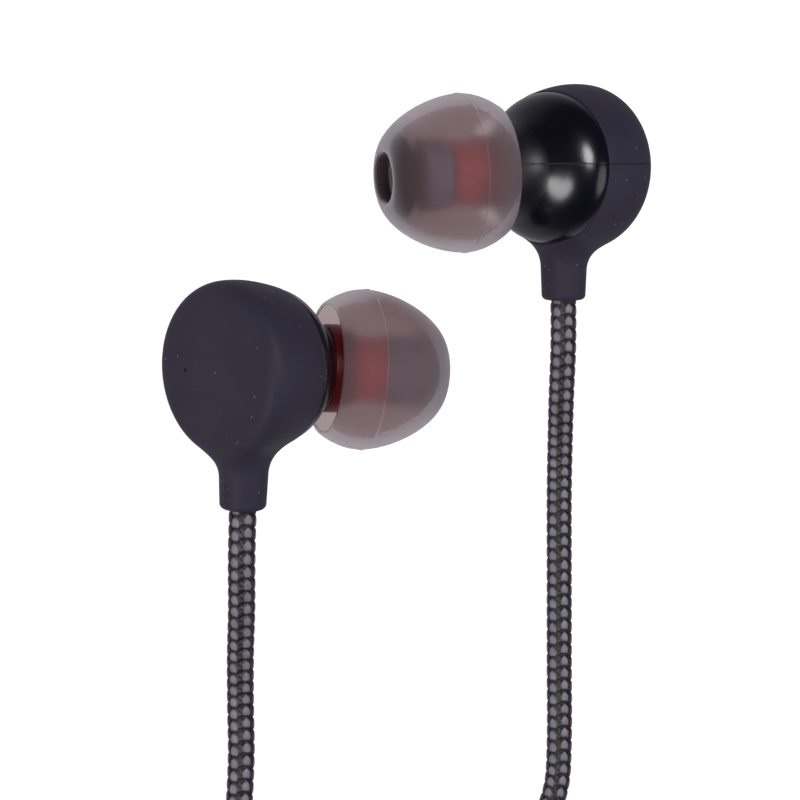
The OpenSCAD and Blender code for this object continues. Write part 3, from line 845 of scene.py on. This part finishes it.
def lathe(name, outline, side, mat, seg=160, axis=NOZ, origin=(0, 0, 0), closed=True, inside=None):
    """outline: (s, r) points in order; closed profile loop."""
    o = np.asarray(outline, float)
    u, w = perp(axis)
    th = np.arange(seg) / seg * 2 * np.pi
    ca, sa = np.cos(th), np.sin(th)
    n = len(o)
    V = (np.asarray(origin)[None, None, :] + o[:, 0][:, None, None] * axis
         + o[:, 1][:, None, None] * (ca[None, :, None] * u + sa[None, :, None] * w))
    verts = V.reshape(-1, 3)
    f = []
    last = n if closed else n - 1
    i = np.arange(last)[:, None]
    j = (i + 1) % n
    k = np.arange(seg)[None, :]
    k2 = (k + 1) % seg
    q = np.stack([i * seg + k, i * seg + k2, j * seg + k2, j * seg + k], -1).reshape(-1, 4)
    # outward orientation: the outline runs so that area in (s, r) is counter-clockwise or not
    area = 0.5 * np.sum(o[:, 0] * np.roll(o[:, 1], -1) - np.roll(o[:, 0], -1) * o[:, 1])
    if area < 0:
        q = q[:, ::-1]
    ob = mesh_object(name, to_row(verts, side), q, mat)
    if inside is not None:
        first, last_, mat2 = inside
        ob.data.materials.append(mat2)
        row = np.repeat(np.arange(last), seg)
        ob.data.polygons.foreach_set("material_index", ((row >= first) & (row < last_)).astype(np.int32))
    st = ob.data.attributes.new("station", "FLOAT", "POINT")
    st.data.foreach_set("value", np.repeat(o[:, 0], seg).astype(np.float32))
    rd = ob.data.attributes.new("ring", "FLOAT", "POINT")
    rd.data.foreach_set("value", np.repeat(o[:, 1], seg).astype(np.float32))
    return ob


def tip_skirt_outline():
    out = []
    R_MAX = 6.35
    # outside, from the rear rim to the seam
    for i in range(22):
        q = 1 - i / 21
        out.append((S_SEAM - (S_SEAM - S_RIM) * q, R_MAX - 1.06 * q * q))
    # the fine mould ridge at the widest ring
    out += [(S_SEAM + 0.02, R_MAX + 0.005), (S_SEAM + 0.05, R_MAX + 0.045), (S_SEAM + 0.09, R_MAX + 0.05), (S_SEAM + 0.13, R_MAX + 0.01)]
    # the dome to the front
    L = S_FRONT - S_SEAM
    for i in range(1, 60):
        q = math.sin(math.radians(90 * i / 59)) 
        q = max(q, 0.14 / L)
        r = 2.28 + (R_MAX - 2.28) * max(0.0, 1 - q ** 1.66) ** (1 / 1.66)
        out.append((S_SEAM + L * q, r))
    # round the front edge into the bore
    out += [(S_FRONT - 0.02, 2.12), (S_FRONT - 0.12, 2.02), (S_FRONT - 0.30, 1.97)]
    out += [(12.9, 1.95), (12.72, 2.1), (12.6, 2.24), (11.52, 2.26), (11.50, 2.7), (11.50, 3.2), (11.54, 3.33), (11.9, 3.36)]
    # the inside of the skirt, back to the rim
    inner = [(12.30, 3.46), (12.22, 3.75), (12.05, 4.12), (11.6, 4.62), (10.9, 5.05), (10.0, 5.42), (9.0, 5.66),
             (8.0, 5.78), (7.0, 5.74), (6.2, 5.6), (5.6, 5.43), (5.1, 5.22), (4.75, 5.03), (4.61, 4.97)]
    ip = []
    inner = [np.array(p) for p in inner]
    for i in range(len(inner) - 1):
        a, b, c, d = inner[max(i - 1, 0)], inner[i], inner[i + 1], inner[min(i + 2, len(inner) - 1)]
        for j in range(4):
            t = j / 4
            ip.append(tuple(0.5 * (2 * b + (c - a) * t + (2 * a - 5 * b + 4 * c - d) * t * t + (3 * b - a - 3 * c + d) * t ** 3)))
    ip.append(tuple(inner[-1]))
    out += ip
    # the rounded rear rim
    out += [(4.52, 5.01), (4.485, 5.09), (4.485, 5.18), (4.51, 5.25)]
    return out


def rounded(pts, r, n=5):
    """Rounds the corners of a closed (s, r) outline."""
    P = [np.array(p, float) for p in pts]
    out = []
    m = len(P)
    for i in range(m):
        a, b, c = P[i - 1], P[i], P[(i + 1) % m]
        rr = r[i] if isinstance(r, (list, tuple)) else r
        if rr <= 0:
            out.append(tuple(b)); continue
        u, v = (a - b), (c - b)
        lu, lv = np.linalg.norm(u), np.linalg.norm(v)
        k = min(rr, 0.45 * lu, 0.45 * lv)
        p, q = b + u / lu * k, b + v / lv * k
        for j in range(n + 1):
            t = j / n
            out.append(tuple((1 - t) ** 2 * p + 2 * t * (1 - t) * b + t * t * q))
    return out


for side in ("right", "left"):
    body = f"{side}_tip"
    so = tip_skirt_outline()
    i0 = next(i for i, q in enumerate(so) if q == (11.52, 2.26))
    i1 = next(i for i, q in enumerate(so) if q == (4.61, 4.97))
    sk = lathe(f"{side}_ear_tip_skirt", so, side, M_SKIRT, seg=200, inside=(i0, i1, M_FILM_IN))
    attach(sk, body)
    core = lathe(f"{side}_ear_tip_core", rounded([(S_TUBE + 0.1, 2.26), (11.48, 2.26), (11.48, 3.0), (11.48, 3.32), (S_TUBE + 0.1, 3.32)],
                                                  [0.1, 0.02, 0.02, 0.02, 0.25]), side, M_CORE, seg=128)
    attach(core, body)
    front = lathe(f"{side}_ear_tip_front_ring", rounded([(12.95, 2.06), (13.88, 2.10), (13.84, 2.7), (13.55, 3.25), (13.15, 3.55), (12.75, 3.5), (12.75, 2.4), (12.95, 2.3)], 0.12), side, M_FRONT, seg=128)
    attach(front, body)
    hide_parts(f"{side}_ear_tip")
    noz = lathe(f"{side}_nozzle_turned", rounded([
        (2.7, 1.6), (S_TUBE_END - 0.3, 1.6), (S_TUBE_END - 0.3, 1.9), (S_TUBE_END, 1.9), (S_TUBE_END, 2.2), (S_TUBE, 2.2),
        (S_TUBE, 3.05), (S_BARREL, 3.05), (S_BARREL, 3.48), (S_COLLAR + 0.02, 3.48), (S_COLLAR + 0.02, 2.58), (2.7, 2.58)],
        [0.02, 0.02, 0.02, 0.03, 0.08, 0.1, 0.15, 0.1, 0.16, 0.12, 0.02, 0.05]), side, M_RED, seg=128)
    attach(noz, "earphones")
    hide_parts(f"{side}_nozzle")


# ---------------------------------------------------------------- carried-over CAD nodes
def paint(name, mat):
    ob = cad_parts[name]
    if len(ob.material_slots) == 0:
        ob.data.materials.append(mat)
    for s in ob.material_slots:
        s.material = mat


for side in ("right", "left"):
    paint(f"{side}_nozzle_mesh", M_MESH)
    paint(f"{side}_driver_frame", M_STEEL)
    paint(f"{side}_driver_magnet", M_MAGNET)
    paint(f"{side}_top_plate", M_STEEL)
    paint(f"{side}_voice_coil", M_COPPER)
    paint(f"{side}_diaphragm", M_FILM)
    paint(f"{side}_driver_board", M_BOARD)
    paint(f"{side}_vent_mesh", M_CLOTH)
    paint(f"{side}_cord_anchor", M_RUBBER)
paint("branch_tie", M_STRAP)
paint("main_tie", M_STRAP)
paint("splitter_lower", M_SOFT)
paint("splitter_upper", M_SOFT)
paint("splitter_crimp", M_COPPER)
paint("plug_relief", M_RUBBER)
paint("plug_housing", M_SOFT)
for n_ in ("plug_sleeve", "plug_ring", "plug_tip"):
    paint(n_, M_GOLD)
paint("plug_insulators", M_INS)
paint("plug_core", M_WHITE)

# ---------------------------------------------------------------- floor and light
fm, fnt, fbs = new_mat("pale_floor")
fn = noise(fnt, 2.0, 2.0)
fr = ramp(fnt, fn.outputs["Fac"], [(0.3, (0.145, 0.145, 0.15)), (0.7, (0.16, 0.16, 0.165))])
fnt.links.new(fr.outputs[0], fbs.inputs["Base Color"])
fbs.inputs["Roughness"].default_value = 0.9
fbs.inputs["Specular IOR Level"].default_value = 0.1
fbs.inputs["Emission Color"].default_value = (1, 1, 1, 1)
fbs.inputs["Emission Strength"].default_value = 0.985
fv = []
ff = []
N = 24
for i in range(N + 1):
    for j in range(N + 1):
        fv.append(((i / N - 0.5) * 3000, (j / N - 0.5) * 3000, 0.0))
for i in range(N):
    for j in range(N):
        a = i * (N + 1) + j
        ff.append([a, a + N + 1, a + N + 2, a + 1])
floor = mesh_object("floor", fv, ff, fm)
floor.visible_glossy = False

world = bpy.data.worlds.new("studio")
scene.world = world
world.use_nodes = True
bg = world.node_tree.nodes["Background"]
wt = world.node_tree
wc = wt.nodes.new("ShaderNodeTexCoord")
ws = wt.nodes.new("ShaderNodeSeparateXYZ")
wt.links.new(wc.outputs["Generated"], ws.inputs[0])
wm = wt.nodes.new("ShaderNodeMapRange")
wm.inputs["From Min"].default_value = -0.6
wm.inputs["From Max"].default_value = 0.3
wt.links.new(ws.outputs[2], wm.inputs["Value"])
wr = ramp(wt, wm.outputs["Result"], [(0.0, (0.55, 0.55, 0.60)), (0.55, (0.22, 0.22, 0.26)), (0.75, (0.075, 0.075, 0.095)), (1.0, (0.06, 0.06, 0.075))])
wt.links.new(wr.outputs[0], bg.inputs[0])
bg.inputs[1].default_value = 1.0


def area(name, direction, dist, size, power, color=(1, 1, 1), size_y=None, at=(0, 0, 6)):
    d = np.array(direction, float)
    d /= np.linalg.norm(d)
    L = bpy.data.lights.new(name, "AREA")
    L.shape = "ELLIPSE"
    L.size = size
    L.size_y = size_y or size
    L.energy = power
    L.color = color
    o = bpy.data.objects.new(name, L)
    scene.collection.objects.link(o)
    p = np.array(at) * MM + d * dist
    o.location = tuple(p)
    o.rotation_euler = Vector(tuple(d)).to_track_quat("Z", "Y").to_euler()
    return o


area("top_box", (-0.135, 0.156, 0.978), 0.45, 0.17, 1.25, size_y=0.21)
area("left_box", (-0.745, -0.435, 0.505), 0.45, 0.155, 0.85, size_y=0.22)
area("fill_right", (0.7, -0.3, 0.75), 0.6, 0.40, 0.75)
wide = area("wide_right", (0.86, 0.30, 0.42), 0.6, 0.40, 0.95)
wide.visible_glossy = False

scene.view_settings.view_transform = "Standard"
scene.view_settings.look = "None"
scene.view_settings.exposure = 0.0
scene.view_settings.gamma = 1.0
